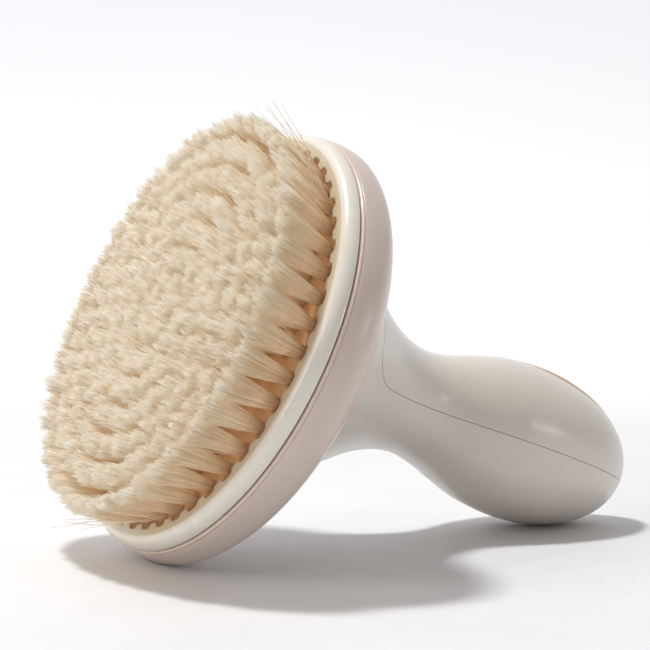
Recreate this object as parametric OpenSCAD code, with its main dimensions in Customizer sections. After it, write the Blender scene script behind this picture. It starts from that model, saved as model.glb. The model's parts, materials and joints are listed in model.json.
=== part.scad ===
// Facial cleansing brush: a powered round brush head on a short bulb handle, lying on its side.
// It rests on the lowest point of the housing rim and on the underside of the bulb, z = 0.

/* [Head] */
// Radius of the running seam between brush plate and housing
seam_r = 40; // [38:0.5:44]
// Largest radius of the head housing
housing_r = 40.7; // [40.7:0.1:43]
// Depth of the domed back of the head housing
dome_depth = 12.5; // [12:0.1:14]
// Wall of the head housing
housing_wall = 2.2; // [1.6:0.1:2.6]

/* [Bristles] */
// Tufts in the outer ring
outer_tufts = 48; // [36:1:48]
// Radius of the outer ring of tufts at the plate
outer_tuft_r = 34.6; // [33:0.1:35]
// Radial distance between rings of tufts
ring_pitch = 5; // [4.8:0.1:5.2]
// Height of the bristles above the plate
bristle_len = 12.8; // [8:0.2:18]
// How much wider the tips of the outer ring stand than its roots
splay = 3.4; // [2:0.1:5]

/* [Handle] */
// Largest radius of the bulb
bulb_r = 16; // [15.5:0.1:18]
// Smallest radius of the neck
neck_r = 10.5; // [10.3:0.1:12]
// Distance along the handle from its start to the widest place of the bulb
bulb_at = 65; // [64:0.5:68]
// Half length of the rounded end behind the widest place
bulb_end = 26.2; // [26:0.2:30]
// Angle that the handle bends up from the axis of the head
bend = 4.96; // [4:0.02:6]
// Wall of the handle shells
shell_wall = 2; // [1.8:0.1:2.2]

/* [Button] */
// Length of the oval button
button_l = 30; // [26:0.5:30]
// Width of the oval button
button_w = 16; // [13:0.5:17]
// Gap round the button
button_gap = 0.4; // [0.3:0.05:0.6]

/* [Drive] */
// Module of the gears
gear_module = 0.4; // [0.4:0.01:0.42]
// Teeth on each small gear
small_teeth = 12; // [12:1:12]
// Teeth on each large gear
large_teeth = 36; // [36:1:36]

/* [Hidden] */

$fn = 96;
eps = 0.01;

// Start of the handle in the head frame
handle_start = 7.2;
handle_offset = 2;
dome_mid = 3.8;

// Pose: the head axis slopes down towards the handle by lie_tilt, the tilt at which the rim of the
// housing and the underside of the bulb touch z = 0 together. An ellipse with half axes a and b,
// turned by v, reaches reach(a, b, v) from its middle.
function reach(a, b, v) = sqrt(pow(a * cos(v), 2) + pow(b * sin(v), 2));
function rim_z(v) = reach(housing_r, dome_depth, v) + dome_mid * sin(v);
function bulb_z(v) = rim_z(v) - handle_start * sin(v) + handle_offset * cos(v)
    - bulb_at * sin(v - bend) - reach(bulb_r, bulb_end, v - bend);
function rest_tilt(low, high, steps) = let (mid = (low + high) / 2)
    steps == 0 ? mid
    : bulb_z(mid) > 0 ? rest_tilt(mid, high, steps - 1) : rest_tilt(low, mid, steps - 1);
lie_tilt = rest_tilt(10, 40, 30);
rim_height = rim_z(lie_tilt);

// Ends of the whole brush along X, measured from the middle of the seam
face_s = -2.2;
tuft_tip_r = 2;
tip_lean = atan(splay / bristle_len);
near_x = (face_s - bristle_len + tuft_tip_r * sin(tip_lean)) * cos(lie_tilt)
    - (outer_tuft_r + splay + tuft_tip_r * cos(tip_lean)) * sin(lie_tilt);
far_x = handle_start * cos(lie_tilt) + handle_offset * sin(lie_tilt) + bulb_at * cos(lie_tilt - bend)
    + reach(bulb_end, bulb_r, lie_tilt - bend);
box_mid_x = (near_x + far_x) / 2;

// Handle outline: distance and radius of the knots between the flare and the widest place
handle_knots = [[-6, 29], [0, 27], [6, 25], [12, 21.3], [18, 17.4], [24, 13.8], [30, 11.4],
    [36, neck_r], [42, 11.4], [48, 13.2], [55, 15.1], [bulb_at, bulb_r]];
knot_steps = 4;
end_steps = 24;
collar_r = 18.8;
collar_end = 12.6;
split_x = -1.2;
cover_front = 15;
cover_corner = 6;
parting = 0.1;

// Stations along the head axis, measured from the seam towards the handle
plate_back = 1.8;
shoulder_s = -2.85;
shoulder_r = 38;
web_front = 2.6;
web_back = 4.4;
well_r = 8.2;
boss_r = 6.6;
boss_back = 10;
seal_s = 5.4;
shaft_r = 2;
journal_r = 3.2;
running_fit = 0.03;
output_s = 10.5;
output_w = 1.9;
second_s = 13;
second_w = 1.7;
carrier_s = 15.1;
carrier_t = 1.2;
motor_r = 6;
motor_len = 15;
motor_shaft_r = 0.75;
post_r = 12;
post_at = [90, 180, 270];
web_screw_r = 33;
web_screw_at = [45, 135, 225, 315];
gear_clearance = 0.02;
center_distance = gear_module * (small_teeth + large_teeth) / 2 + gear_clearance;
pressure_angle = 25;
tooth_thinning = 0.05;

// Stations along the handle axis
button_at = 73.5;
cap_t = 1;
seal_t = 0.5;
board_x = 2.4;
board_t = 1;
board_from = 42;
board_to = 80;
cell_r = 6.5;
cell_len = 22;
cell_x = -5;
cell_at = 53.5;

// ---------- frames ----------
module in_head() {
    translate([-box_mid_x, 0, rim_height]) rotate([0, 90 + lie_tilt, 0]) rotate([0, 0, 180]) children();
}
module in_handle_from_head() {
    translate([handle_offset, 0, handle_start]) rotate([0, bend, 0]) children();
}
module in_handle() {
    in_head() in_handle_from_head() children();
}

// ---------- curves ----------
// Catmull-Rom point between knots k and k + 1 at fraction u
function knot(k) = handle_knots[max(0, min(len(handle_knots) - 1, k))];
function after_last(k) = k < len(handle_knots) ? knot(k) : [2 * bulb_at - knot(k - 2)[0], knot(k - 2)[1]];
function spline(k, u) = let (a = knot(k - 1), b = knot(k), c = knot(k + 1), d = after_last(k + 2))
    0.5 * (2 * b + (c - a) * u + (2 * a - 5 * b + 4 * c - d) * u * u + (3 * b - a - 3 * c + d) * u * u * u);
function handle_outline(inset) = concat(
    [for (k = [0:len(handle_knots) - 2], j = [0:knot_steps - 1])
        let (p = spline(k, j / knot_steps)) [p[1] - inset, p[0]]],
    [for (j = [0:end_steps])
        let (v = 90 * j / end_steps)
        [max(0, (bulb_r - inset) * cos(v)), bulb_at + (bulb_end - inset) * sin(v)]],
    [[0, handle_knots[0][0]]]);
function dome_outline(inset) = [for (j = [0:end_steps])
    let (v = 90 * j / end_steps)
    [max(0, (housing_r - inset) * cos(v)), dome_mid + (dome_depth - inset) * sin(v)]];

module handle_solid(inset = 0) {
    rotate_extrude() polygon(handle_outline(inset));
}
// The cavity keeps a plain bore at the flare, where the housing collar enters it.
module handle_cavity() {
    difference() {
        handle_solid(shell_wall);
        translate([0, 0, -10]) cylinder(r = 40, h = 10 + collar_end);
    }
    translate([0, 0, -10]) cylinder(r = collar_r + 0.05, h = 10 + collar_end + eps);
}
module dome_solid(inset = 0) {
    rotate_extrude() polygon(concat([[0, -2], [housing_r - inset, -2]], dome_outline(inset)));
}
// The dome of the housing, placed in the handle frame
module dome_in_handle(inset = 0) {
    rotate([0, -bend, 0]) translate([-handle_offset, 0, -handle_start]) dome_solid(inset);
}

// ---------- gears ----------
function involute(r, base) = r <= base ? 0
    : let (roll = sqrt(pow(r / base, 2) - 1)) roll * 180 / PI - atan(roll);
function flank_angle(r, pitch, base) = (PI * gear_module / 4 - tooth_thinning) / pitch * 180 / PI
    + involute(pitch, base) - involute(r, base);
module gear(teeth, width) {
    pitch = gear_module * teeth / 2;
    base = pitch * cos(pressure_angle);
    root = pitch - 1.25 * gear_module;
    tip = pitch + 0.9 * gear_module;
    radii = [root, max(root, base), pitch, tip];
    linear_extrude(width) polygon([for (k = [0:teeth - 1]) each concat(
        [for (r = radii) let (v = k * 360 / teeth - flank_angle(r, pitch, base)) r * [cos(v), sin(v)]],
        [for (j = [3:-1:0]) let (r = radii[j], v = k * 360 / teeth + flank_angle(r, pitch, base))
            r * [cos(v), sin(v)]])]);
}

// ---------- brush head ----------
ring_tufts = [outer_tufts, 42, 36, 30, 24, 15, 7];
tuft_root_r = 1.1;
tuft_hole_r = 1.3;
tuft_waist_r = 0.85;
tuft_sink = 0.3;
hole_depth = 1.6;
function ring_radius(ring) = outer_tuft_r - ring_pitch * (ring - 1);
function tuft_angle(ring, k) = 360 * (k + 0.5 * (ring % 2)) / ring_tufts[ring - 1];
center_r = 2.3;

module at_tufts(ring) {
    for (k = [0:ring_tufts[ring - 1] - 1])
        rotate(tuft_angle(ring, k)) translate([ring_radius(ring), 0, face_s]) children();
}
// A straight root that fills its hole up to the plate's face, and a leaning tuft that widens to its tip
module tuft(lean) {
    cylinder(r = tuft_root_r, h = hole_depth, $fn = 24);
    translate([0, 0, tuft_sink]) rotate([0, -lean, 0]) mirror([0, 0, 1])
        cylinder(r1 = tuft_waist_r, r2 = tuft_tip_r, h = bristle_len / cos(lean) + tuft_sink, $fn = 24);
}
module tuft_ring(ring) {
    lean = atan(splay * ring_radius(ring) / outer_tuft_r / bristle_len);
    color("cornsilk") in_head() at_tufts(ring) tuft(lean);
}
module tufts_center() {
    color("cornsilk") in_head() translate([0, 0, face_s]) {
        cylinder(r = center_r, h = hole_depth / 2);
        mirror([0, 0, 1]) cylinder(r1 = center_r, r2 = center_r + 0.6, h = bristle_len);
    }
}
module brush_plate() {
    recess_r = 35.8;
    skirt_r = 37.4;
    skirt_in = 36;
    hub_r = 6.6;
    hub_back = 4.8;
    notch_r = 2.1;
    color("ivory") in_head() difference() {
        union() {
            rotate_extrude() polygon(concat(
                [[0, plate_back], [0, face_s], [recess_r - 0.3, face_s], [recess_r, face_s - 0.3],
                    [recess_r + 0.15, shoulder_s + 0.1], [recess_r + 0.35, shoulder_s], [shoulder_r, shoulder_s]],
                [for (v = [7.5:7.5:90]) [shoulder_r + (seam_r - shoulder_r) * sin(v),
                    -0.3 + (shoulder_s + 0.3) * cos(v)]],
                [[skirt_r, -0.3], [skirt_r, 2.2], [skirt_in, 2.2], [skirt_in, plate_back]]));
            translate([0, 0, plate_back - eps]) cylinder(r = hub_r, h = hub_back - plate_back + eps);
        }
        for (ring = [1:7]) at_tufts(ring) translate([0, 0, -eps])
            cylinder(r = tuft_hole_r, h = hole_depth + eps, $fn = 24);
        // A notch in the raised rim beside each outer tuft
        at_tufts(1) translate([0, 0, -1.1]) cylinder(r = notch_r, h = 1.25, $fn = 24);
        translate([0, 0, face_s - eps]) cylinder(r = center_r, h = hole_depth / 2 + eps);
        // Socket for the spindle: a hexagon in front, a round bore behind
        translate([0, 0, socket_front]) cylinder(r = hex_r + running_fit + 0.02, h = 6, $fn = 6);
        translate([0, 0, hex_back]) cylinder(r = journal_r + running_fit, h = 6);
    }
}

// ---------- drive ----------
hex_r = 2.8;
socket_front = -0.9;
hex_back = 1.4;
spindle_front = -0.6;
groove_s = 2.6;
oring_r = 0.6;
journal_back = 5.1;

module spindle() {
    color("silver") in_head() difference() {
        union() {
            translate([0, 0, spindle_front]) cylinder(r = hex_r, h = hex_back + 0.2 - spindle_front, $fn = 6);
            translate([0, 0, hex_back + 0.2]) cylinder(r = journal_r, h = journal_back - hex_back - 0.2);
            translate([0, 0, journal_back - eps])
                cylinder(r = shaft_r, h = output_s + output_w - journal_back + 0.2);
        }
        translate([0, 0, groove_s]) rotate_extrude() translate([journal_r - oring_r + 0.02, 0])
            circle(r = oring_r, $fn = 32);
    }
}
module drive_oring() {
    color("dimgray") in_head() translate([0, 0, groove_s]) rotate_extrude()
        translate([journal_r - oring_r + 0.02, 0]) circle(r = oring_r, $fn = 32);
}
module output_gear() {
    color("whitesmoke") in_head() translate([0, 0, output_s]) difference() {
        rotate(180 / large_teeth) gear(large_teeth, output_w);
        translate([0, 0, -1]) cylinder(r = shaft_r, h = output_w + 2);
    }
}
axle_r = 0.75;
axle_front = 5;
module at_idler() {
    translate([center_distance, 0, 0]) children();
}
module idler_gear() {
    hub_r = 1.7;
    color("whitesmoke") in_head() at_idler() difference() {
        union() {
            translate([0, 0, 7.1]) cylinder(r = hub_r, h = carrier_s - 0.2 - 7.1);
            translate([0, 0, output_s - 0.1]) gear(small_teeth, output_w + 0.2);
            translate([0, 0, second_s]) rotate(180 / large_teeth) gear(large_teeth, second_w);
        }
        translate([0, 0, 6]) cylinder(r = axle_r + running_fit, h = 11);
    }
}
module idler_axle() {
    color("silver") in_head() at_idler() translate([0, 0, axle_front])
        cylinder(r = axle_r, h = carrier_s + carrier_t - axle_front);
}
module motor_pinion() {
    color("goldenrod") in_head() translate([0, 0, second_s]) difference() {
        gear(small_teeth, second_w + 0.1);
        translate([0, 0, -1]) cylinder(r = motor_shaft_r, h = 4);
    }
}
module motor_shaft() {
    color("silver") in_head() translate([0, 0, second_s])
        cylinder(r = motor_shaft_r, h = carrier_s + carrier_t + 1.5 - second_s);
}
module motor_screw_places() {
    for (side = [-1, 1]) translate([0, side * 4.6, 0]) children();
}
module motor_can() {
    color("lightgray") in_head() difference() {
        translate([0, 0, carrier_s + carrier_t]) {
            cylinder(r = motor_r, h = motor_len);
            translate([0, 0, motor_len - eps]) cylinder(r = 2, h = 1);
        }
        translate([0, 0, carrier_s + carrier_t - 1]) cylinder(r = motor_shaft_r + running_fit, h = 2.6);
        motor_screw_places() translate([0, 0, carrier_s]) cylinder(r = 0.6, h = 4);
    }
}
module screw(head_r, head_h, shank_r, length) {
    difference() {
        cylinder(r = head_r, h = head_h);
        translate([0, 0, -1]) cylinder(r = head_r * 0.5, h = 1 + head_h * 0.5, $fn = 6);
    }
    translate([0, 0, head_h - eps]) cylinder(r = shank_r, h = length);
}
module motor_screws() {
    color("dimgray") in_head() motor_screw_places() translate([0, 0, carrier_s - 0.6])
        screw(1.1, 0.6, 0.6, 2.7);
}
post_len = carrier_s - 8;
module post_places() {
    for (v = post_at) rotate(v) translate([post_r, 0, 0]) children();
}
module gear_carrier() {
    color("gainsboro") in_head() difference() {
        union() {
            translate([1, 0, carrier_s]) cylinder(r = 14.9, h = carrier_t);
            post_places() translate([0, 0, 8]) cylinder(r = 1.8, h = post_len + eps);
        }
        post_places() translate([0, 0, 7]) cylinder(r = 0.85, h = 12);
        translate([0, 0, carrier_s - 1]) cylinder(r = 2.6, h = 4);
        at_idler() translate([0, 0, carrier_s - 1]) cylinder(r = axle_r, h = 4);
        motor_screw_places() translate([0, 0, carrier_s - 1]) cylinder(r = 0.7, h = 4);
    }
}
module carrier_screws() {
    color("dimgray") in_head() post_places() translate([0, 0, carrier_s + carrier_t + 0.8]) mirror([0, 0, 1])
        screw(1.5, 0.8, 0.8, carrier_s + carrier_t - 4.8);
}
module web_screw_places() {
    for (v = web_screw_at) rotate(v) translate([web_screw_r, 0, 0]) children();
}
module bulkhead() {
    rim_r = 37.9;
    color("gainsboro") in_head() difference() {
        union() {
            translate([0, 0, web_front]) cylinder(r = rim_r, h = web_back - web_front);
            translate([0, 0, web_front]) cylinder(r = 11.4, h = 6.8 - web_front);
            translate([0, 0, web_front]) cylinder(r = boss_r, h = boss_back - web_front);
            post_places() translate([0, 0, web_front]) cylinder(r = 2.3, h = 8 - web_front);
        }
        // Well for the hub of the brush plate
        translate([0, 0, 0]) cylinder(r = well_r - 1.1, h = 5.3);
        translate([0, 0, 5.3 - eps]) cylinder(r = 4.4, h = 1.4);
        translate([0, 0, 5]) cylinder(r = 2.3, h = 3);
        translate([0, 0, 7]) cylinder(r = 4, h = 4);
        post_places() translate([0, 0, 4.6]) cylinder(r = 0.8, h = 4);
        at_idler() translate([0, 0, axle_front]) cylinder(r = axle_r, h = 4);
        web_screw_places() {
            translate([0, 0, 2]) cylinder(r = 1.05, h = 4);
            translate([0, 0, 2]) cylinder(r = 2, h = 1.6);
        }
        // Groove for the sealing ring
        translate([0, 0, 3.5]) rotate_extrude() translate([rim_r, 0]) circle(r = 0.5, $fn = 32);
    }
}
module bulkhead_screws() {
    color("dimgray") in_head() web_screw_places() translate([0, 0, 2.75]) screw(1.8, 0.85, 1, 4.4);
}
module bulkhead_oring() {
    color("dimgray") in_head() translate([0, 0, 3.5]) rotate_extrude() translate([37.9, 0])
        intersection() {
            circle(r = 0.5, $fn = 32);
            translate([-1, -1]) square([1.1, 2]);
        }
}
module lip_seal() {
    color("dimgray") in_head() translate([0, 0, seal_s - 0.1]) rotate_extrude() polygon([
        [shaft_r + running_fit, 0.4],
        [2.4, 0], [4.4, 0], [4.4, 1.35], [3.2, 1.35], [3.2, 0.6], [2.5, 0.6], [shaft_r + running_fit, 0.7]]);
}
module spindle_bush() {
    color("peru") in_head() translate([0, 0, 7]) difference() {
        cylinder(r = 4, h = 3);
        translate([0, 0, -1]) cylinder(r = shaft_r + 0.02, h = 5);
    }
}

// ---------- housing ----------
mouth_r = 38;
lip_depth = 0.5;
module head_housing() {
    color("rosybrown") in_head() difference() {
        union() {
            rotate_extrude() polygon(concat([[0, 5], [mouth_r, 5], [mouth_r, lip_depth],
                [seam_r + 0.3, lip_depth], [seam_r + 0.52, 1.8], [seam_r + 0.65, 3]], dome_outline(0)));
            in_handle_from_head() translate([0, 0, 2]) cylinder(r = collar_r, h = collar_end - 2);
        }
        // Room inside the dome
        rotate_extrude() polygon(concat([[0, 4], [mouth_r - 1, 4]],
            [for (p = dome_outline(housing_wall)) if (p[0] < mouth_r - 1.2) p]));
        translate([0, 0, 0]) cylinder(r = mouth_r, h = web_back);
        in_handle_from_head() translate([0, 0, -8]) cylinder(r = collar_r - 1.6, h = 40);
    }
    color("rosybrown") in_head() web_screw_bosses();
}
module web_screw_bosses() {
    intersection() {
        difference() {
            web_screw_places() translate([0, 0, web_back]) cylinder(r = 2.4, h = 8);
            web_screw_places() translate([0, 0, web_back - 1]) cylinder(r = 1, h = 4.8);
        }
        dome_solid(housing_wall / 2);
    }
}
module lip_ring() {
    color("rosybrown") in_head() rotate_extrude() polygon([[mouth_r + 0.3, 0], [seam_r - 0.1, 0],
        [seam_r + 0.15, 0.15], [seam_r + 0.3, lip_depth], [mouth_r + 0.3, lip_depth]]);
}

// ---------- handle shells ----------
// Side view of the space taken by the top cover, as a plate across the whole handle
module cover_space(grow = 0) {
    rotate([90, 0, 0]) translate([0, 0, -30]) linear_extrude(60) union() {
        translate([split_x + cover_corner - grow, cover_front - grow]) square([40, 90]);
        translate([split_x - grow, cover_front + cover_corner - grow]) square([40, 90]);
        translate([split_x + cover_corner - grow, cover_front + cover_corner - grow])
            circle(r = cover_corner);
    }
}
module shell() {
    difference() {
        handle_solid();
        handle_cavity();
        dome_in_handle();
    }
}
module oval(length, width) {
    translate([0, 0, button_at]) rotate([0, 90, 0]) linear_extrude(30) scale([1, width / length])
        circle(d = length);
}
module half_space(side) {
    translate([-50, side > 0 ? parting / 2 : -80 - parting / 2, -20]) cube([100, 80, 130]);
}
bracket_at = 38;
bracket_screw_y = 4.2;
module lower_shell(side) {
    color("linen") in_handle() {
        intersection() {
            difference() {
                shell();
                cover_space(parting);
            }
            half_space(side);
        }
        // Screw boss for the bracket, standing on the inside of the shell
        intersection() {
            handle_solid(shell_wall - 0.4);
            difference() {
                translate([-12, side * bracket_screw_y, bracket_at]) rotate([0, 90, 0])
                    cylinder(r = 1.9, h = 8.5);
                translate([-8, side * bracket_screw_y, bracket_at]) rotate([0, 90, 0])
                    cylinder(r = 0.8, h = 8);
            }
        }
    }
}
module lower_shell_left() {
    lower_shell(-1);
}
module lower_shell_right() {
    lower_shell(1);
}
module top_cover() {
    color("linen") in_handle() difference() {
        intersection() {
            shell();
            cover_space();
        }
        oval(button_l + 2 * button_gap, button_w + 2 * button_gap);
    }
}
module bracket_screw_places() {
    for (side = [-1, 1]) translate([0, side * bracket_screw_y, bracket_at]) children();
}
module spine_bracket() {
    color("gainsboro") in_handle() difference() {
        translate([-3.5, -6.6, 34.5]) cube([1.4, 13.2, 18.6]);
        bracket_screw_places() translate([-6, 0, 0]) rotate([0, 90, 0]) cylinder(r = 0.85, h = 8);
    }
}
module shell_screws() {
    color("dimgray") in_handle() bracket_screw_places() translate([-1.3, 0, 0]) rotate([0, -90, 0])
        screw(1.5, 0.8, 0.8, 4.6);
}

// ---------- button ----------
stem_r = 2.4;
module button_cap() {
    color("burlywood") in_handle() {
        intersection() {
            difference() {
                handle_solid();
                handle_solid(cap_t);
            }
            oval(button_l, button_w);
        }
        intersection() {
            handle_solid(cap_t / 2);
            translate([board_x + board_t + 4.7, 0, button_at]) rotate([0, 90, 0])
                cylinder(r = stem_r, h = 12);
        }
    }
}
module button_seal() {
    color("dimgray") in_handle() difference() {
        intersection() {
            difference() {
                handle_solid(shell_wall);
                handle_solid(shell_wall + seal_t);
            }
            oval(button_l - 1, button_w + 4);
        }
        translate([0, 0, button_at]) rotate([0, 90, 0]) cylinder(r = stem_r + 0.3, h = 20);
    }
}

// ---------- electronics ----------
module circuit_board() {
    color("seagreen") in_handle() translate([board_x, -7, board_from]) difference() {
        cube([board_t, 14, board_to - board_from]);
        for (y = [2, 12]) translate([-1, y, 3]) rotate([0, 90, 0]) cylinder(r = 0.8, h = 4);
    }
}
module tact_switch() {
    color("dimgray") in_handle() translate([board_x + board_t, 0, button_at]) {
        translate([0, -3, -3]) cube([3, 6, 6]);
        rotate([0, 90, 0]) cylinder(r = 1.5, h = 3.8);
    }
}
module control_chip() {
    color("black") in_handle() translate([board_x + board_t, -3, 56]) cube([1.1, 6, 7]);
}
module battery() {
    color("steelblue") in_handle() translate([cell_x, 0, cell_at]) {
        cylinder(r = cell_r, h = cell_len);
        translate([0, 0, cell_len - eps]) cylinder(r = 2, h = 0.6);
    }
}
module battery_cradle() {
    color("gainsboro") in_handle() translate([cell_x, 0, cell_at + 1]) difference() {
        union() {
            cylinder(r = cell_r + 0.7, h = cell_len - 2);
            translate([0, -cell_r - 0.7, 0]) cube([board_x - cell_x, 2 * cell_r + 1.4, cell_len - 2]);
        }
        translate([0, 0, -1]) cylinder(r = cell_r, h = cell_len);
        translate([0, -cell_r + 0.6, -1]) cube([20, 2 * cell_r - 1.2, cell_len]);
    }
}
module battery_tabs() {
    color("silver") in_handle() for (z = [cell_at - 0.3, cell_at + cell_len + 0.6])
        translate([cell_x - 1, -1.5, z]) cube([board_x - cell_x + 1, 3, 0.25]);
}
module charge_coil() {
    color("peru") in_handle() translate([0, 0, 82.7]) difference() {
        cylinder(r = 6.8, h = 1.4);
        translate([0, 0, -1]) cylinder(r = 2.6, h = 4);
    }
}
module ferrite_disc() {
    color("black") in_handle() translate([0, 0, 81.7]) cylinder(r = 7.2, h = 1);
}
lead_r = 0.5;
module lead(side) {
    motor_end = carrier_s + carrier_t + motor_len;
    in_head() translate([0, side * 3.6, motor_end]) cylinder(r = lead_r, h = 3);
    in_handle() translate([0.9, side * 3.6, 27]) cylinder(r = lead_r, h = board_from + 4 - 27);
}
module motor_leads() {
    color("firebrick") for (side = [-1, 1]) lead(side);
}

brush_plate();
tuft_ring(1);  // tufts_ring_1
tuft_ring(2);  // tufts_ring_2
tuft_ring(3);  // tufts_ring_3
tuft_ring(4);  // tufts_ring_4
tuft_ring(5);  // tufts_ring_5
tuft_ring(6);  // tufts_ring_6
tuft_ring(7);  // tufts_ring_7
tufts_center();
spindle();
drive_oring();
output_gear();
idler_gear();
idler_axle();
motor_pinion();
motor_shaft();
motor_can();
motor_screws();
gear_carrier();
carrier_screws();
bulkhead();
bulkhead_screws();
bulkhead_oring();
lip_seal();
spindle_bush();
head_housing();
lip_ring();
top_cover();
lower_shell_left();
lower_shell_right();
spine_bracket();
shell_screws();
button_cap();
button_seal();
circuit_board();
tact_switch();
control_chip();
battery();
battery_cradle();
battery_tabs();
charge_coil();
ferrite_disc();
motor_leads();
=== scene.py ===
"""Looks for the facial cleansing brush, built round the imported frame. Lengths are in metres, row frame."""
import json
import math

import bpy
import numpy as np
from mathutils import Matrix, Vector


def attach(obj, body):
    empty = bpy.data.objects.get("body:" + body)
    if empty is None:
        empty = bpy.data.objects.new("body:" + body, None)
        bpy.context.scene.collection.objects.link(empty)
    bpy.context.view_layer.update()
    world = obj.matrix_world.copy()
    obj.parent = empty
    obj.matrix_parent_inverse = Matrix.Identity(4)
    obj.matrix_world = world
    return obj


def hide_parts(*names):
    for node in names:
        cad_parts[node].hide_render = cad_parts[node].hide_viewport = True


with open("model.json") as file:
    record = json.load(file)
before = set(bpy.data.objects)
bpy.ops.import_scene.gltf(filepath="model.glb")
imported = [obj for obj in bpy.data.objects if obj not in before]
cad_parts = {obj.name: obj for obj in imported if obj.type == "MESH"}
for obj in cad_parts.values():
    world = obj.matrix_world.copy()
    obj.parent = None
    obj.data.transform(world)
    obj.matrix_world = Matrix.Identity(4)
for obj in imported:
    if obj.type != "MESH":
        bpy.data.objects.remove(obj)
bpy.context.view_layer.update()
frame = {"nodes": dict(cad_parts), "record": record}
MM = 0.001
chance = np.random.default_rng(7)

# ---------------------------------------------------------------- frames
joints = {j["name"]: j for j in frame["record"]["behaviour"]["joints"]}
HEAD_AXIS = Vector(joints["head_spin"]["axis"]).normalized()
HEAD_UP = Vector((-HEAD_AXIS.z, 0, HEAD_AXIS.x))
BEARING_STATION = 8 * MM
SEAM = Vector(joints["head_spin"]["pos_m"]) - BEARING_STATION * HEAD_AXIS
BEND = math.radians(4.96)
HANDLE_AXIS = HEAD_AXIS * math.cos(BEND) + HEAD_UP * math.sin(BEND)
HANDLE_UP = HEAD_UP * math.cos(BEND) - HEAD_AXIS * math.sin(BEND)
HANDLE_START = SEAM + 7.2 * MM * HEAD_AXIS + 2 * MM * HEAD_UP
BUTTON_UP = -Vector(joints["button_press"]["axis"]).normalized()


def basis(up, axis, origin):
    """Rows are the local x, y and z directions; a local point p lies at origin + p @ rows."""
    return np.array([up, axis.cross(up), axis], float), np.array(origin, float)


HEAD = basis(HEAD_UP, HEAD_AXIS, SEAM)
HANDLE = basis(HANDLE_UP, HANDLE_AXIS, HANDLE_START)
BUTTON = basis(BUTTON_UP, HANDLE_AXIS, HANDLE_START)


def place(points, where):
    """Local millimetres to the row frame in metres."""
    rows, origin = where
    return np.asarray(points, float) * MM @ rows + origin


# ---------------------------------------------------------------- outlines
SEAM_R = 40.0
HOUSING_R = 40.7
DOME_MID = 3.8
DOME_DEPTH = 12.5
BULB_R = 16.0
BULB_AT = 65.0
BULB_END = 26.2
NECK_KNOTS = np.array([(-6, 29), (0, 27), (6, 25), (12, 21.3), (18, 17.4), (24, 13.8), (30, 11.4), (36, 10.5),
                       (42, 11.4), (48, 13.2), (55, 15.1), (BULB_AT, BULB_R), (2 * BULB_AT - 55, 15.1)])
SEAM_GAP = 0.09
COVER_SPLIT = -1.2
COVER_FRONT = 15.0
COVER_CORNER = 6.0
BUTTON_AT = 73.5
BUTTON_HALF = (15.0, 8.0)
CAP_THICKNESS = 1.0
OPENING_DEPTH = 3.1
SHELL_INSET = 1.6
FACE_S = -2.2
SHOULDER_S = -2.85
SHOULDER_R = 38.0
RECESS_R = 35.8
OUTER_TUFTS = 48
OUTER_TUFT_R = 34.6
NOTCH_HALF = 1.35
NOTCH_DEPTH = 0.95
BRISTLE = 12.4
SPLAY = 1.6


def handle_radius(t):
    """Radius of the handle at distance t along its axis: a Catmull-Rom neck, then half an ellipse."""
    t = np.atleast_1d(np.asarray(t, float))
    k = np.clip(np.searchsorted(NECK_KNOTS[:, 0], t, side="right") - 1, 1, len(NECK_KNOTS) - 3)
    a, b, c, d = (NECK_KNOTS[k + i, 1] for i in (-1, 0, 1, 2))
    u = (t - NECK_KNOTS[k, 0]) / (NECK_KNOTS[k + 1, 0] - NECK_KNOTS[k, 0])
    neck = 0.5 * (2 * b + (c - a) * u + (2 * a - 5 * b + 4 * c - d) * u**2 + (3 * b - a - 3 * c + d) * u**3)
    bulb = BULB_R * np.sqrt(np.clip(1 - ((t - BULB_AT) / BULB_END) ** 2, 0, 1))
    return np.where(t < BULB_AT, neck, bulb)


def handle_normal(points):
    """Outward normals of the handle's smooth surface at local points, in local axes."""
    t = np.clip(points[:, 2], -4, BULB_AT + BULB_END - 1e-3)
    step = 1e-3
    slope = (handle_radius(t + step) - handle_radius(t - step)) / (2 * step)
    around = np.hypot(points[:, 0], points[:, 1])
    safe = np.maximum(around, 1e-9)
    n = np.stack([points[:, 0] / safe, points[:, 1] / safe, -slope], 1)
    end = points[:, 2] > BULB_AT
    ellipsoid = np.stack([points[:, 0] / BULB_R**2, points[:, 1] / BULB_R**2,
                          (points[:, 2] - BULB_AT) / BULB_END**2], 1)
    n[end] = ellipsoid[end]
    return n / np.linalg.norm(n, axis=1)[:, None]


# ---------------------------------------------------------------- mesh helpers
def make_object(name, mesh):
    made = bpy.data.objects.new(name, mesh)
    bpy.context.scene.collection.objects.link(made)
    return made


def mesh_object(name, points, faces, where, smooth=True):
    mesh = bpy.data.meshes.new(name)
    mesh.from_pydata(place(points, where).tolist(), [], faces)
    mesh.validate()
    mesh.update()
    mesh.shade_smooth() if smooth else mesh.shade_flat()
    return make_object(name, mesh)


def grid_faces(rows, columns, closed_columns=False, closed_rows=False):
    faces = []
    for i in range(rows if closed_rows else rows - 1):
        for j in range(columns if closed_columns else columns - 1):
            k, m = (i + 1) % rows, (j + 1) % columns
            faces.append((i * columns + j, i * columns + m, k * columns + m, k * columns + j))
    return faces


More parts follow.
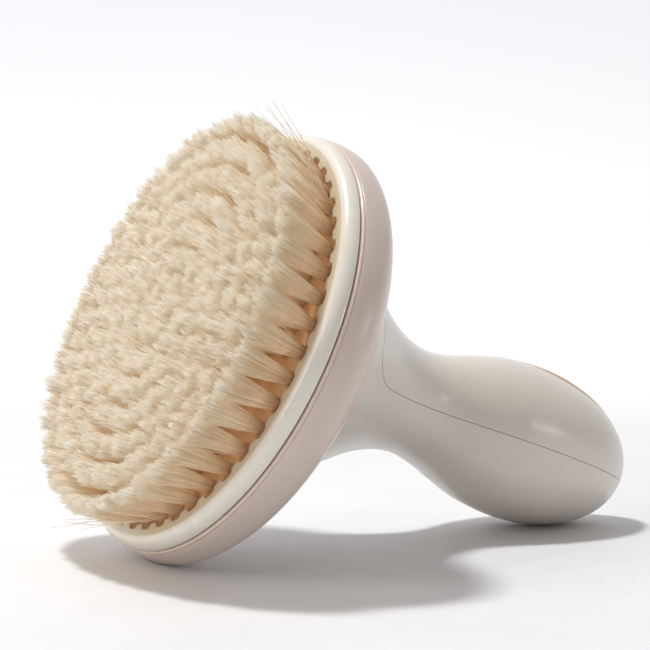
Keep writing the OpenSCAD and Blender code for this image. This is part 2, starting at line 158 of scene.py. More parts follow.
def lathe(name, outline, where, segments=256, radial=None):
    """Turns a closed outline of (radius, station) pairs round the local axis."""
    outline = np.asarray(outline, float)
    angle = np.linspace(0, 2 * np.pi, segments, endpoint=False)
    radius = np.repeat(outline[:, :1], segments, 1)
    if radial is not None:
        radius = radius + radial(outline, angle)
    station = np.repeat(outline[:, 1:], segments, 1)
    points = np.stack([radius * np.cos(angle), radius * np.sin(angle), station], -1)
    return mesh_object(name, points.reshape(-1, 3), grid_faces(len(outline), segments, True, True), where)


def arc(center, half_axes, start, end, steps):
    angle = np.radians(np.linspace(start, end, steps))
    return [(center[0] + half_axes[0] * math.cos(v), center[1] + half_axes[1] * math.sin(v)) for v in angle]


def cut(target, tool, operation):
    """Applies a boolean with the tool and throws the tool away."""
    step = target.modifiers.new("cut", "BOOLEAN")
    step.solver = "EXACT"
    step.operation = operation
    step.object = tool
    bpy.context.view_layer.update()
    shape = bpy.data.meshes.new_from_object(target.evaluated_get(bpy.context.evaluated_depsgraph_get()))
    old = target.data
    target.modifiers.clear()
    target.data = shape
    shape.name = old.name
    bpy.data.meshes.remove(old)
    tool_mesh = tool.data
    bpy.data.objects.remove(tool)
    bpy.data.meshes.remove(tool_mesh)


def true_normals(piece, where, surface):
    """Gives the outside of a cut piece the exact normals of the smooth surface it was cut from."""
    rows, origin = where
    mesh = piece.data
    mesh.shade_smooth()
    co = np.empty(len(mesh.vertices) * 3)
    mesh.vertices.foreach_get("co", co)
    smooth = surface(((co.reshape(-1, 3) - origin) @ rows.T) / MM) @ rows
    flat = np.empty(len(mesh.polygons) * 3)
    mesh.polygons.foreach_get("normal", flat)
    flat = flat.reshape(-1, 3)
    corner = np.empty(len(mesh.loops), int)
    mesh.loops.foreach_get("vertex_index", corner)
    sizes = np.empty(len(mesh.polygons), int)
    mesh.polygons.foreach_get("loop_total", sizes)
    face = np.repeat(np.arange(len(sizes)), sizes)
    pick = smooth[corner]
    own = flat[face]
    alike = (pick * own).sum(1)
    chosen = np.where((alike > 0.9)[:, None], pick, np.where((alike < -0.9)[:, None], -pick, own))
    mesh.normals_split_custom_set(chosen.tolist())


# ---------------------------------------------------------------- materials
SKIN_GRAIN = 2600
SKIN_DEPTH = 0.04 * MM


def linear(r, g, b):
    """sRGB 0-255 to scene colour."""
    return tuple(((c / 255 + 0.055) / 1.055) ** 2.4 if c > 10 else c / 255 / 12.92 for c in (r, g, b)) + (1,)


def new_material(name):
    made = bpy.data.materials.new(name)
    made.use_nodes = True
    return made, made.node_tree.nodes, made.node_tree.links


def noise_at(nodes, links, scale, detail, vector=None):
    noise = nodes.new("ShaderNodeTexNoise")
    noise.inputs["Scale"].default_value = scale
    noise.inputs["Detail"].default_value = detail
    if vector is None:
        vector = nodes.new("ShaderNodeTexCoord").outputs["Object"]
    links.new(vector, noise.inputs["Vector"])
    return noise.outputs["Fac"]


def ramp(nodes, links, factor, stops):
    made = nodes.new("ShaderNodeValToRGB")
    links.new(factor, made.inputs["Fac"])
    band = made.color_ramp
    band.elements[0].position, band.elements[0].color = stops[0]
    band.elements[1].position, band.elements[1].color = stops[-1]
    for position, colour in stops[1:-1]:
        band.elements.new(position).color = colour
    return made.outputs["Color"]


def plastic(name, colour, roughness, coat=0.0, spread=0.03, bump=0.04, coat_roughness=0.12):
    """Moulded plastic: a faint cloudiness in the colour, uneven gloss, and a fine moulded skin."""
    made, nodes, links = new_material(name)
    shader = nodes["Principled BSDF"]
    cloud = noise_at(nodes, links, 45, 4)
    dark = tuple(c * (1 - spread) for c in colour[:3]) + (1,)
    light = tuple(min(1, c * (1 + spread)) for c in colour[:3]) + (1,)
    links.new(ramp(nodes, links, cloud, [(0.3, dark), (0.7, light)]), shader.inputs["Base Color"])
    gloss = nodes.new("ShaderNodeMapRange")
    links.new(noise_at(nodes, links, 160, 5), gloss.inputs["Value"])
    gloss.inputs["To Min"].default_value = roughness * 0.85
    gloss.inputs["To Max"].default_value = roughness * 1.2
    links.new(gloss.outputs["Result"], shader.inputs["Roughness"])
    skin = nodes.new("ShaderNodeBump")
    skin.inputs["Strength"].default_value = bump
    skin.inputs["Distance"].default_value = SKIN_DEPTH
    links.new(noise_at(nodes, links, SKIN_GRAIN, 3), skin.inputs["Height"])
    links.new(skin.outputs["Normal"], shader.inputs["Normal"])
    shader.inputs["Coat Weight"].default_value = coat
    shader.inputs["Coat Roughness"].default_value = coat_roughness
    return made


def metal(name, colour, roughness, brush=(1, 1, 1)):
    """Plated or turned metal with fine uneven brushing."""
    made, nodes, links = new_material(name)
    shader = nodes["Principled BSDF"]
    shader.inputs["Metallic"].default_value = 1
    stretch = nodes.new("ShaderNodeMapping")
    stretch.inputs["Scale"].default_value = brush
    links.new(nodes.new("ShaderNodeTexCoord").outputs["Object"], stretch.inputs["Vector"])
    streak = noise_at(nodes, links, 900, 4, stretch.outputs["Vector"])
    dark = tuple(c * 0.86 for c in colour[:3]) + (1,)
    links.new(ramp(nodes, links, streak, [(0.35, dark), (0.65, colour)]), shader.inputs["Base Color"])
    gloss = nodes.new("ShaderNodeMapRange")
    links.new(streak, gloss.inputs["Value"])
    gloss.inputs["To Min"].default_value = roughness * 0.7
    gloss.inputs["To Max"].default_value = roughness * 1.3
    links.new(gloss.outputs["Result"], shader.inputs["Roughness"])
    return made


def bristle_material():
    """Filaments: cream, painted tan at the root as shade and paler at the tip as painted light; light passes
    through them.
    """
    made, nodes, links = new_material("bristle_filament")
    shader = nodes["Principled BSDF"]
    coord = nodes.new("ShaderNodeTexCoord").outputs["Object"]
    away = nodes.new("ShaderNodeVectorMath")
    away.operation = "SUBTRACT"
    links.new(coord, away.inputs[0])
    away.inputs[1].default_value = SEAM + FACE_S * MM * HEAD_AXIS
    along = nodes.new("ShaderNodeVectorMath")
    along.operation = "DOT_PRODUCT"
    links.new(away.outputs["Vector"], along.inputs[0])
    along.inputs[1].default_value = -HEAD_AXIS / (BRISTLE * MM)
    uneven = nodes.new("ShaderNodeMath")
    uneven.operation = "MULTIPLY_ADD"
    links.new(noise_at(nodes, links, 900, 2), uneven.inputs[0])
    uneven.inputs[1].default_value = 0.16
    links.new(along.outputs["Value"], uneven.inputs[2])
    # Painted shade and light along the length: tan low in the tufts where shade falls, palest at the lit
    # tips.
    height = ramp(nodes, links, uneven.outputs["Value"], [
        (0.06, linear(184, 140, 98)), (0.16, linear(228, 200, 166)), (0.36, linear(244, 230, 208)),
        (0.85, linear(252, 243, 226)), (1.0, linear(254, 250, 241))])
    clump = ramp(nodes, links, noise_at(nodes, links, 300, 2), [
        (0.35, (0.95, 0.92, 0.87, 1)), (0.6, (1, 1, 1, 1))])
    mix = nodes.new("ShaderNodeMix")
    mix.data_type = "RGBA"
    mix.blend_type = "MULTIPLY"
    mix.inputs["Factor"].default_value = 1
    links.new(height, mix.inputs["A"])
    links.new(clump, mix.inputs["B"])
    links.new(mix.outputs["Result"], shader.inputs["Base Color"])
    gloss = nodes.new("ShaderNodeMapRange")
    links.new(noise_at(nodes, links, 700, 2), gloss.inputs["Value"])
    gloss.inputs["To Min"].default_value = 0.38
    gloss.inputs["To Max"].default_value = 0.6
    links.new(gloss.outputs["Result"], shader.inputs["Roughness"])
    # Light scattered many times between the filaments leaves a warm glow low in the tufts.
    glow = ramp(nodes, links, uneven.outputs["Value"], [
        (0.08, (0.24, 0.15, 0.08, 1)), (0.4, (0.3, 0.23, 0.15, 1)), (0.95, (0.2, 0.17, 0.13, 1))])
    links.new(glow, shader.inputs["Emission Color"])
    shader.inputs["Emission Strength"].default_value = 0.52
    through = nodes.new("ShaderNodeBsdfTranslucent")
    links.new(mix.outputs["Result"], through.inputs["Color"])
    blend = nodes.new("ShaderNodeMixShader")
    blend.inputs["Fac"].default_value = 0.4
    links.new(shader.outputs["BSDF"], blend.inputs[1])
    links.new(through.outputs["BSDF"], blend.inputs[2])
    links.new(blend.outputs["Shader"], nodes["Material Output"].inputs["Surface"])
    return made


ivory = plastic("ivory_plate", linear(236, 232, 220), 0.26, coat=0.5, spread=0.015,
                bump=0.02, coat_roughness=0.1)
rose = plastic("rose_housing", linear(217, 201, 191), 0.33, coat=0.25, spread=0.02,
               bump=0.05, coat_roughness=0.2)
white = plastic("handle_white", linear(224, 218, 208), 0.3, coat=0.3, spread=0.02,
                bump=0.04, coat_roughness=0.18)
peach = plastic("button_rose", linear(208, 164, 134), 0.4, coat=0.15, spread=0.025,
                bump=0.08, coat_roughness=0.3)
# The lip's colour, a shade lighter than the housing's though it is the same plastic, is a painted highlight
# along the rounded front edge.
lip_rose = plastic("lip_rose", linear(226, 206, 192), 0.24, coat=0.4, spread=0.015,
                   bump=0.02, coat_roughness=0.1)
# Painted shade: the flat rim by the tufts is the ivory painted darker and warmer, for the shade and for the
# warm light the filaments cast on it.
painted_shade_rim = plastic("ivory_rim_painted_shade", linear(216, 205, 180), 0.3, coat=0.4, spread=0.02,
               bump=0.02, coat_roughness=0.12)
# Painted shade: the ivory floor between the tufts, painted warm tan for the shade and for the warm light the
# filaments bounce onto it.
painted_shade_floor = plastic("plate_floor_painted_shade", linear(212, 168, 126), 0.5, spread=0.05, bump=0.1)
copper = metal("wound_copper", linear(206, 150, 116), 0.28)
steel = metal("steel", linear(190, 190, 190), 0.3, (1, 1, 6))
brass = metal("turned_brass", linear(214, 178, 112), 0.3, (1, 6, 1))
rubber = plastic("dark_rubber", linear(72, 52, 42), 0.62, spread=0.06, bump=0.25)
acetal = plastic("acetal", linear(232, 232, 226), 0.4, spread=0.02)
nylon = plastic("grey_nylon", linear(150, 150, 148), 0.55, spread=0.06, bump=0.2)
board = plastic("solder_mask", linear(34, 96, 58), 0.35, coat=0.4, spread=0.12)
black = plastic("black_package", linear(28, 28, 30), 0.5, spread=0.15, bump=0.2)
sleeve = plastic("cell_sleeve", linear(70, 104, 140), 0.3, coat=0.3, spread=0.05)
red = plastic("lead_sleeve", linear(150, 34, 30), 0.45, spread=0.08)
filament = bristle_material()

INNER_LOOKS = {
    steel: ["spindle", "idler_axle", "motor_shaft", "motor_can", "motor_screws", "carrier_screws",
            "bulkhead_screws", "shell_screws", "battery_tabs"],
    brass: ["motor_pinion", "spindle_bush"],
    copper: ["charge_coil"],
    rubber: ["drive_oring", "lip_seal", "bulkhead_oring", "button_seal"],
    acetal: ["output_gear", "idler_gear"],
    nylon: ["gear_carrier", "bulkhead", "spine_bracket", "battery_cradle"],
    board: ["circuit_board"],
    black: ["tact_switch", "control_chip", "ferrite_disc"],
    sleeve: ["battery"],
    red: ["motor_leads"],
}
for look, names in INNER_LOOKS.items():
    for name in names:
        part = frame["nodes"][name]
        part.data.materials.clear()
        part.data.materials.append(look)


def finish_piece(piece, look, body, slot, *nodes):
    if not piece.data.materials:
        piece.data.materials.append(look)
    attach(piece, body)
    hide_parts(*nodes)


# ---------------------------------------------------------------- head
def brush_plate():
    """Ivory plate: rounded flank, flat rim, a step down to the floor with a notch beside each outer tuft; the
    floor and the rim carry painted shade from the filaments.
    """
    edge = arc((RECESS_R + 0.3, SHOULDER_S + 0.2), (0.3, -0.2), 180, 90, 5)
    step = [(RECESS_R - 0.25, FACE_S), (RECESS_R - 0.03, FACE_S - 0.15), (RECESS_R, SHOULDER_S + 0.3), *edge]
    flank = arc((SHOULDER_R, -0.5), (SEAM_R - 0.05 - SHOULDER_R, SHOULDER_S + 0.5), 90, 4, 22)
    lip = arc((SEAM_R - 0.3, -0.5), (0.25, 0.22), 0, 90, 5)
    floor = [(0.4, 1.8), (0.4, FACE_S), (20, FACE_S), (34, FACE_S)]
    outline = [*floor, *step, (37.3, SHOULDER_S), (37.7, SHOULDER_S), *flank, *lip,
               (37.4, -0.28), (37.4, 2.2), (36, 2.2), (36, 1.8)]
    moved = range(len(floor), len(floor) + len(step))

    def notches(points, angle):
        pitch = 2 * np.pi / OUTER_TUFTS
        across = OUTER_TUFT_R * np.abs((angle / pitch) % 1 - 0.5) * pitch
        depth = NOTCH_DEPTH * np.sqrt(np.maximum(1 - (across / NOTCH_HALF) ** 4, 0))
        reach = np.zeros((len(points), 1))
        reach[moved] = 1
        return reach * depth[None, :]

    segments = OUTER_TUFTS * 24
    piece = lathe("ivory_brush_plate", outline, HEAD, segments, notches)
    piece.data.materials.append(ivory)
    piece.data.materials.append(painted_shade_floor)
    piece.data.materials.append(painted_shade_rim)
    # The floor faces take the painted-shade floor colour, the step and rim faces take the painted-shade rim
    # colour, and the rest stay plain ivory.
    row = np.arange(len(piece.data.polygons)) // segments
    look = np.where(row < len(floor), 1, np.where(row < len(floor) + len(step) + 2, 2, 0))
    piece.data.polygons.foreach_set("material_index", look.astype(np.int32))
    return piece


def housing():
    """Domed housing with a rounded front edge, closed far inside the handle's flare."""
    edge = [(39.0, 0.52), (39.9, 0.52), *arc((SEAM_R + 0.1, 0.77), (0.22, 0.25), 285, 350, 5)]
    side = [(HOUSING_R - 0.4 * ((DOME_MID - z) / 3.3) ** 2, z) for z in np.linspace(0.95, DOME_MID - 0.2, 10)]
    dome = arc((0, DOME_MID), (HOUSING_R, DOME_DEPTH), 0, 70, 66)
    inner = arc((0, DOME_MID), (HOUSING_R - 2.2, DOME_DEPTH - 2.2), 70, 0, 30)
    return lathe("rose_housing", [*edge, *side, *dome, *inner, (38.0, 4.0), (38.0, 0.52)], HEAD, 320)


def front_lip():
    outline = [(38.3, 0.0), (SEAM_R - 0.35, 0.0), *arc((SEAM_R - 0.2, 0.35), (0.44, 0.35), 280, 350, 6),
               (SEAM_R + 0.26, 0.48), (38.3, 0.48)]
    return lathe("rose_front_lip", outline, HEAD, 320)


# ---------------------------------------------------------------- bristles
RING_TUFTS = [OUTER_TUFTS, 42, 36, 30, 24, 15, 7]
RING_PITCH = 5
TUFT_STRANDS = 260
MIDDLE_STRANDS = 300
TUFT_POINTS = 11
STRAY_STRANDS = 26
STRAND_SIDES = 3
STRAND_STEPS = 2
STRAND_ROOT_R = 0.08
STRAND_TIP_R = 0.05


def strand_mesh(name, roots, tips, bows):
    """Thin tapered three-sided filaments, one for each pair of root and tip."""
    count = len(roots)
    along = np.linspace(0, 1, STRAND_STEPS + 1)[None, :, None]
    center = roots[:, None] + (tips - roots)[:, None] * along + bows[:, None] * 4 * along * (1 - along)
    way = tips - roots
    way /= np.linalg.norm(way, axis=1)[:, None]
    first = np.cross(way, chance.normal(size=way.shape))
    first /= np.linalg.norm(first, axis=1)[:, None]
    second = np.cross(way, first)
    turn = 2 * np.pi * np.arange(STRAND_SIDES) / STRAND_SIDES
    ring = first[:, None] * np.cos(turn)[None, :, None] + second[:, None] * np.sin(turn)[None, :, None]
    width = (STRAND_ROOT_R + (STRAND_TIP_R - STRAND_ROOT_R) * along)[..., None]
    points = center[:, :, None] + ring[:, None] * width
    per = (STRAND_STEPS + 1) * STRAND_SIDES
    quads = np.array([(i * STRAND_SIDES + j, i * STRAND_SIDES + (j + 1) % STRAND_SIDES,
                       (i + 1) * STRAND_SIDES + (j + 1) % STRAND_SIDES, (i + 1) * STRAND_SIDES + j)
                      for i in range(STRAND_STEPS) for j in range(STRAND_SIDES)])
    cap = np.array([per - STRAND_SIDES + j for j in range(STRAND_SIDES)])
    start = per * np.arange(count)[:, None]
    sides = np.tile(quads.ravel(), (count, 1)) + start
    corners = np.concatenate([sides, np.tile(cap, (count, 1)) + start], 1)
    sizes = np.tile(np.r_[np.full(len(quads), 4), STRAND_SIDES], count)
    mesh = bpy.data.meshes.new(name)
    mesh.vertices.add(count * per)
    mesh.vertices.foreach_set("co", place(points.reshape(-1, 3), HEAD).ravel())
    mesh.loops.add(corners.size)
    mesh.loops.foreach_set("vertex_index", corners.ravel().astype(np.int32))
    mesh.polygons.add(len(sizes))
    mesh.polygons.foreach_set("loop_start", np.r_[0, np.cumsum(sizes)[:-1]].astype(np.int32))
    mesh.update(calc_edges=True)
    mesh.validate()
    mesh.shade_smooth()
    return make_object(name, mesh)


def tuft_strands(radius, angle, count, spread, lean, fray):
    """Roots, tips and bows of one tuft, in head millimetres. Spread is along the radius and across it."""
    rho = np.sqrt(chance.uniform(0, 1, count))
    theta = chance.uniform(0, 2 * np.pi, count)
    disc = np.stack([rho * np.cos(theta), rho * np.sin(theta)], 1)
    roots = np.column_stack([radius + 1.0 * disc[:, 0], 1.05 * disc[:, 1], np.full(count, FACE_S + 0.3)])
    # The tips gather in a few small points, each with its own height.
    point_rho = np.sqrt(chance.uniform(0.05, 1.1, TUFT_POINTS))
    point_turn = chance.uniform(0, 2 * np.pi, TUFT_POINTS)
    gathered = np.stack([point_rho * np.cos(point_turn), point_rho * np.sin(point_turn)], 1)
    nearest = ((disc[:, None] - gathered[None]) ** 2).sum(2).argmin(1)
    loose = chance.normal(0, 0.3, (count, 2)) + (0.55 * disc + 0.45 * gathered[nearest]) * np.array(spread)
    tall = chance.normal(0, 0.45, TUFT_POINTS)[nearest]
    height = BRISTLE - 0.3 + 0.9 * tall - 0.9 * rho**2 - np.abs(chance.normal(0, fray, count))
    tips = np.column_stack([radius + lean + loose[:, 0], loose[:, 1], FACE_S - height])
    bows = chance.normal(0, 0.08, (count, 3)) * (1, 1, 0)
    c, s = math.cos(angle), math.sin(angle)
    turn = np.array([[c, s, 0], [-s, c, 0], [0, 0, 1]])
    return roots @ turn, tips @ turn, bows @ turn


def stray_strands(count):
    """A few filaments of the outer ring that stand out past the rest, at the top and low on the far side."""
    angle = chance.choice([chance.normal(0.1, 0.35), chance.normal(3.3, 0.35)], count)
    angle = angle + chance.normal(0, 0.3, count)
    reach = chance.uniform(1.0, 4.2, count)
    radial = np.stack([np.cos(angle), np.sin(angle)], 1)
    roots = np.column_stack([radial * (OUTER_TUFT_R + 0.6), np.full(count, FACE_S + 0.2)])
    tips = np.column_stack([radial * (OUTER_TUFT_R + SPLAY + 1.4 + reach)[:, None],
                            FACE_S - BRISTLE * chance.uniform(0.85, 1.05, count)])
    bows = np.column_stack([radial * chance.normal(0, 0.3, count)[:, None], np.zeros(count)])
    return roots, tips, bows


def tuft_ring(ring):
    radius = OUTER_TUFT_R - RING_PITCH * (ring - 1)
    number = RING_TUFTS[ring - 1]
    lean = SPLAY * radius / OUTER_TUFT_R
    spread, fray = ((1.5, 2.6), 0.8) if ring == 1 else ((2.3, 2.4), 0.9)
    turns = [2 * math.pi * (k + 0.5 * (ring % 2)) / number for k in range(number)]
    parts = [tuft_strands(radius, turn, TUFT_STRANDS, spread, lean, fray) for turn in turns]
    if ring == 1:
        parts.append(stray_strands(STRAY_STRANDS))
    roots, tips, bows = (np.concatenate(p) for p in zip(*parts))
    return strand_mesh(f"bristles_ring_{ring}", roots, tips, bows)


def middle_tuft():
    roots, tips, bows = tuft_strands(0, 0, MIDDLE_STRANDS, (2.7, 2.7), 0, 0.8)
    return strand_mesh("bristles_middle", roots, tips, bows)


# ---------------------------------------------------------------- handle
def half_lathe(name, inset, start, end, steps):
    """A closed shell between two angles round the axis: the handle's surface and one inside it.

    Its front edge runs just under the dome of the housing, which meets the handle further on at the top."""
    angle = np.radians(np.linspace(start, end, steps))
    front = 6.4 + 1.75 * np.cos(angle)
    neck = front + (BULB_AT - front) * np.linspace(0, 1, 120)[:, None]
    bulb = BULB_AT + BULB_END * np.sin(np.linspace(0, np.pi / 2, 60))[1:, None]
    t = np.vstack([neck, np.repeat(bulb, steps, 1)])
    radius = handle_radius(t.ravel()).reshape(t.shape)
    on_bulb = t > BULB_AT
    inner_r = np.where(on_bulb, radius * (BULB_R - inset) / BULB_R, radius - inset)
    inner_t = np.where(on_bulb, BULB_AT + (t - BULB_AT) * (BULB_END - inset) / BULB_END, t)
    radius = np.maximum(np.vstack([radius, inner_r[::-1]]), 0.03)
    station = np.vstack([t, inner_t[::-1]])
    points = np.stack([radius * np.cos(angle), radius * np.sin(angle), station], -1)
    rows = len(radius)
    if end - start >= 360:
        faces = grid_faces(rows, steps - 1, True, True)
        return mesh_object(name, points[:, :-1].reshape(-1, 3), faces, HANDLE)
    faces = grid_faces(rows, steps, False, True)
    for column, flip in ((0, False), (steps - 1, True)):
        for i in range(rows // 2 - 1):
            quad = (i * steps + column, (i + 1) * steps + column, (rows - 2 - i) * steps + column,
                    (rows - 1 - i) * steps + column)
            faces.append(quad[::-1] if flip else quad)
    return mesh_object(name, points.reshape(-1, 3), faces, HANDLE)


def prism(name, outline, depth, where):
    """A plate with the given (x, z) outline, standing across the local y axis."""
    n = len(outline)
    points = [(x, y, z) for y in (-depth, depth) for x, z in outline]
    faces = [tuple(range(n)), tuple(range(2 * n - 1, n - 1, -1))]
    faces += [(i, i + n, (i + 1) % n + n, (i + 1) % n) for i in range(n)]
    return mesh_object(name, points, faces, where, smooth=False)


def cover_space(grow):
    """Side outline of the top cover's space, with its rounded lower front corner."""
    low, front = COVER_SPLIT - grow, COVER_FRONT - grow
    corner = arc((low + COVER_CORNER, front + COVER_CORNER), (COVER_CORNER, COVER_CORNER), 180, 270, 24)
    return prism("cover_space", [(low, 110), *corner, (40, front), (40, 110)], 40, HANDLE)


def surface_point(t, y, lift, drop=0.0):
    """Points on top of the handle above (t, y), lifted along the normal, then dropped along the travel."""
    r = handle_radius(t)
    points = np.stack([np.sqrt(np.maximum(r**2 - y**2, 0.05)), y, t], 1)
    return points + lift * handle_normal(points) - (drop, 0, 0)


def button_opening(gap, fillet):
    """Cutter for the oval opening: it follows the bulb's surface and leaves an evenly rounded edge."""
    angle = np.linspace(0, 2 * np.pi, 160, endpoint=False)
    rings = [(fillet * 1.4 + gap, 0.6), (fillet + gap, 0.02)]
    rings += [(gap + fillet * (1 - math.sin(v)), -fillet * (1 - math.cos(v)))
              for v in np.linspace(0.35, np.pi / 2, 5)]
    points = []
    for grow, lift, drop in [*((*ring, 0) for ring in rings), (*rings[-1], OPENING_DEPTH)]:
        t = BUTTON_AT + (BUTTON_HALF[0] + grow) * np.cos(angle)
        y = (BUTTON_HALF[1] + grow) * np.sin(angle)
        points.append(surface_point(t, y, lift, drop))
    crown = points[0] + np.array([8.0, 0, 0])
    points = np.concatenate([crown, *points])
    n = len(angle)
    faces = grid_faces(len(rings) + 2, n, True)
    faces += [tuple(range(n - 1, -1, -1)), tuple(range(len(points) - n, len(points)))]
    return mesh_object("opening", points, faces, BUTTON)


def top_cover():
    piece = half_lathe("white_top_cover", SHELL_INSET, 0, 360, 241)
    cut(piece, cover_space(-SEAM_GAP / 2), "INTERSECT")
    cut(piece, button_opening(0.32, 0.3), "DIFFERENCE")
    true_normals(piece, HANDLE, handle_normal)
    return piece


def lower_shell(side):
    start, end = (0.3, 179.7) if side == "near" else (180.3, 359.7)
    piece = half_lathe(f"white_lower_shell_{side}", SHELL_INSET, start, end, 121)
    cut(piece, cover_space(SEAM_GAP / 2), "DIFFERENCE")
    true_normals(piece, HANDLE, handle_normal)
    return piece


def button():
    """Oval cap of even thickness that follows the bulb's surface and rolls over at its edge."""
    angle = np.linspace(0, 2 * np.pi, 160, endpoint=False)
    fillet = 0.7
    inner = BUTTON_HALF[1] - fillet
    spread = inner * np.linspace(0.02, 1, 26)
    rows = [(reach, 0.0, 0.0) for reach in spread]
    rows += [(inner + fillet * math.sin(v), -fillet * (1 - math.cos(v)), 0.0)
             for v in np.linspace(0.15, np.pi / 2, 7)]
    rows.append((BUTTON_HALF[1], -fillet, CAP_THICKNESS - fillet))
    rows += [(reach, -CAP_THICKNESS, 0.0) for reach in spread[::-1]]
    points = []
    for reach, lift, drop in rows:
        share = min(1.0, reach / inner)
        grow = max(0.0, reach - inner)
        t = BUTTON_AT + ((BUTTON_HALF[0] - fillet) * share + grow) * np.cos(angle)
        y = (inner * share + grow) * np.sin(angle)
        points.append(surface_point(t, y, lift, drop))
    points = np.concatenate(points)
    n = len(angle)
    faces = grid_faces(len(rows), n, True)
    faces += [tuple(range(n - 1, -1, -1)), tuple(range(len(points) - n, len(points)))]
    return mesh_object("rose_button", points, faces, BUTTON)


# ---------------------------------------------------------------- build
finish_piece(brush_plate(), ivory, "brush_head", "plate_ivory", "brush_plate")
finish_piece(housing(), rose, "handle", "housing_rose", "head_housing")
finish_piece(front_lip(), lip_rose, "handle", "lip_rose", "lip_ring")
for number in range(1, 8):
    finish_piece(tuft_ring(number), filament, "brush_head", "bristle", f"tufts_ring_{number}")
finish_piece(middle_tuft(), filament, "brush_head", "bristle", "tufts_center")
finish_piece(top_cover(), white, "handle", "shell_white", "top_cover")
finish_piece(lower_shell("near"), white, "handle", "shell_white", "lower_shell_right")
finish_piece(lower_shell("far"), white, "handle", "shell_white", "lower_shell_left")
finish_piece(button(), peach, "button", "button_rose", "button_cap")


# ---------------------------------------------------------------- stage
VIEW_TURN, VIEW_DIP, VIEW_ROLL = (math.radians(v) for v in (31.489, 1.2936, -0.7129))
VIEW_AT = Vector((-146.94, -223.44, 47.31)) * MM
VIEW_LENS = 77.54
AWAY = Vector((math.sin(VIEW_TURN), math.cos(VIEW_TURN), 0))
ACROSS = Vector((math.cos(VIEW_TURN), -math.sin(VIEW_TURN), 0))


def direction_value(nodes, links, vector, way):
    made = nodes.new("ShaderNodeVectorMath")
    made.operation = "DOT_PRODUCT"
    links.new(vector, made.inputs[0])
    made.inputs[1].default_value = way
    return made.outputs["Value"]


def floor_sheet():
    """A pale paper sheet that brightens with distance behind the brush until it meets the background."""
    made, nodes, links = new_material("pale_paper")
    shader = nodes["Principled BSDF"]
    grain = ramp(nodes, links, noise_at(nodes, links, 60, 6), [
        (0.3, (0.76, 0.765, 0.78, 1)), (0.7, (0.79, 0.795, 0.81, 1))])
    links.new(grain, shader.inputs["Base Color"])
    shader.inputs["Roughness"].default_value = 0.6
    coord = nodes.new("ShaderNodeTexCoord").outputs["Object"]
    far = nodes.new("ShaderNodeMapRange")
    far.interpolation_type = "SMOOTHSTEP"
    links.new(direction_value(nodes, links, coord, AWAY), far.inputs["Value"])
    far.inputs["From Min"].default_value = 0.04
    far.inputs["From Max"].default_value = 0.5
    bright = nodes.new("ShaderNodeEmission")
    bright.inputs["Color"].default_value = (1, 1, 1, 1)
    bright.inputs["Strength"].default_value = 1.03
    blend = nodes.new("ShaderNodeMixShader")
    links.new(far.outputs["Result"], blend.inputs["Fac"])
    links.new(shader.outputs["BSDF"], blend.inputs[1])
    links.new(bright.outputs["Emission"], blend.inputs[2])
    links.new(blend.outputs["Shader"], nodes["Material Output"].inputs["Surface"])
    steps = np.r_[-4, -1, np.linspace(-0.5, 0.5, 21), 1, 4, 30]
    points = [tuple(AWAY * v + ACROSS * u) for v in steps for u in (-12, -1, 1, 12)]
    mesh = bpy.data.meshes.new("floor_sheet")
    mesh.from_pydata(points, [], grid_faces(len(steps), 4))
    mesh.materials.append(made)
    make_object("floor_sheet", mesh)


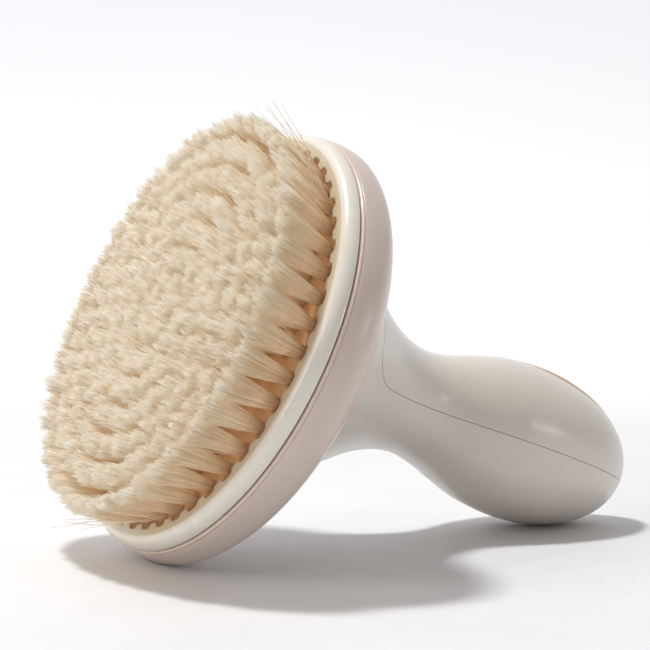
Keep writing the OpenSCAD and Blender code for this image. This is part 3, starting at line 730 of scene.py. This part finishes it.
def studio_world():
    """Soft surroundings: bright behind the brush, fainter overhead, on the right and in front."""
    world = bpy.data.worlds.new("studio")
    bpy.context.scene.world = world
    world.use_nodes = True
    nodes, links = world.node_tree.nodes, world.node_tree.links
    way = nodes.new("ShaderNodeTexCoord").outputs["Generated"]
    behind = nodes.new("ShaderNodeMapRange")
    links.new(direction_value(nodes, links, way, AWAY - 0.3 * ACROSS), behind.inputs["Value"])
    behind.inputs["From Min"].default_value = -1
    behind.inputs["From Max"].default_value = 1
    behind.inputs["To Min"].default_value = 0.2
    behind.inputs["To Max"].default_value = 1.06
    level = ramp(nodes, links, direction_value(nodes, links, way, (0, 0, 1)), [
        (0.0, (1, 1, 1, 1)), (0.08, (0.975, 0.98, 0.99, 1)), (0.22, (0.86, 0.87, 0.9, 1)),
        (0.7, (0.7, 0.7, 0.72, 1))])
    warmth = ramp(nodes, links, behind.outputs["Result"], [(0.2, (1, 0.93, 0.86, 1)), (0.9, (1, 1, 1, 1))])
    tint = nodes.new("ShaderNodeMix")
    tint.data_type = "RGBA"
    tint.blend_type = "MULTIPLY"
    tint.inputs["Factor"].default_value = 1
    links.new(level, tint.inputs["A"])
    links.new(warmth, tint.inputs["B"])
    background = nodes["Background"]
    links.new(tint.outputs["Result"], background.inputs["Color"])
    links.new(behind.outputs["Result"], background.inputs["Strength"])


def area_light(name, place_at, aim, size, power, colour):
    data = bpy.data.lights.new(name, "AREA")
    data.shape = "RECTANGLE"
    data.size, data.size_y = size
    data.energy = power
    data.color = colour
    made = bpy.data.objects.new(name, data)
    made.location = place_at
    made.rotation_euler = (Vector(aim) - Vector(place_at)).to_track_quat("-Z", "Y").to_euler()
    bpy.context.scene.collection.objects.link(made)


def camera():
    """Looks nearly level from the brush side, about 31 degrees round from square on."""
    ahead = AWAY * math.cos(VIEW_DIP) - Vector((0, 0, math.sin(VIEW_DIP)))
    down = ahead.cross(ACROSS)
    tilted_right = ACROSS * math.cos(VIEW_ROLL) + down * math.sin(VIEW_ROLL)
    tilted_down = down * math.cos(VIEW_ROLL) - ACROSS * math.sin(VIEW_ROLL)
    data = bpy.data.cameras.new("camera")
    data.sensor_width = 36
    data.lens = VIEW_LENS
    data.clip_start = 0.01
    data.clip_end = 100
    data.dof.use_dof = False
    made = bpy.data.objects.new("camera", data)
    axes = Matrix((tilted_right, -tilted_down, -ahead)).transposed().to_4x4()
    made.matrix_world = Matrix.Translation(VIEW_AT) @ axes
    bpy.context.scene.collection.objects.link(made)
    bpy.context.scene.camera = made


floor_sheet()
studio_world()
camera()
area_light("key", (-0.224, 0.278, 1.24), (-0.02, 0, 0.05), (0.15, 0.15), 11.5, (1, 0.995, 0.985))
area_light("side", (-0.85, 0.06, 0.44), (-0.04, 0, 0.04), (0.45, 0.45), 2.4, (1, 0.95, 0.88))
area_light("front", (0.42, -0.56, 0.15), (0.03, 0, 0.03), (0.09, 0.09), 0.25, (1, 0.97, 0.96))
bpy.context.scene.view_settings.view_transform = "Standard"
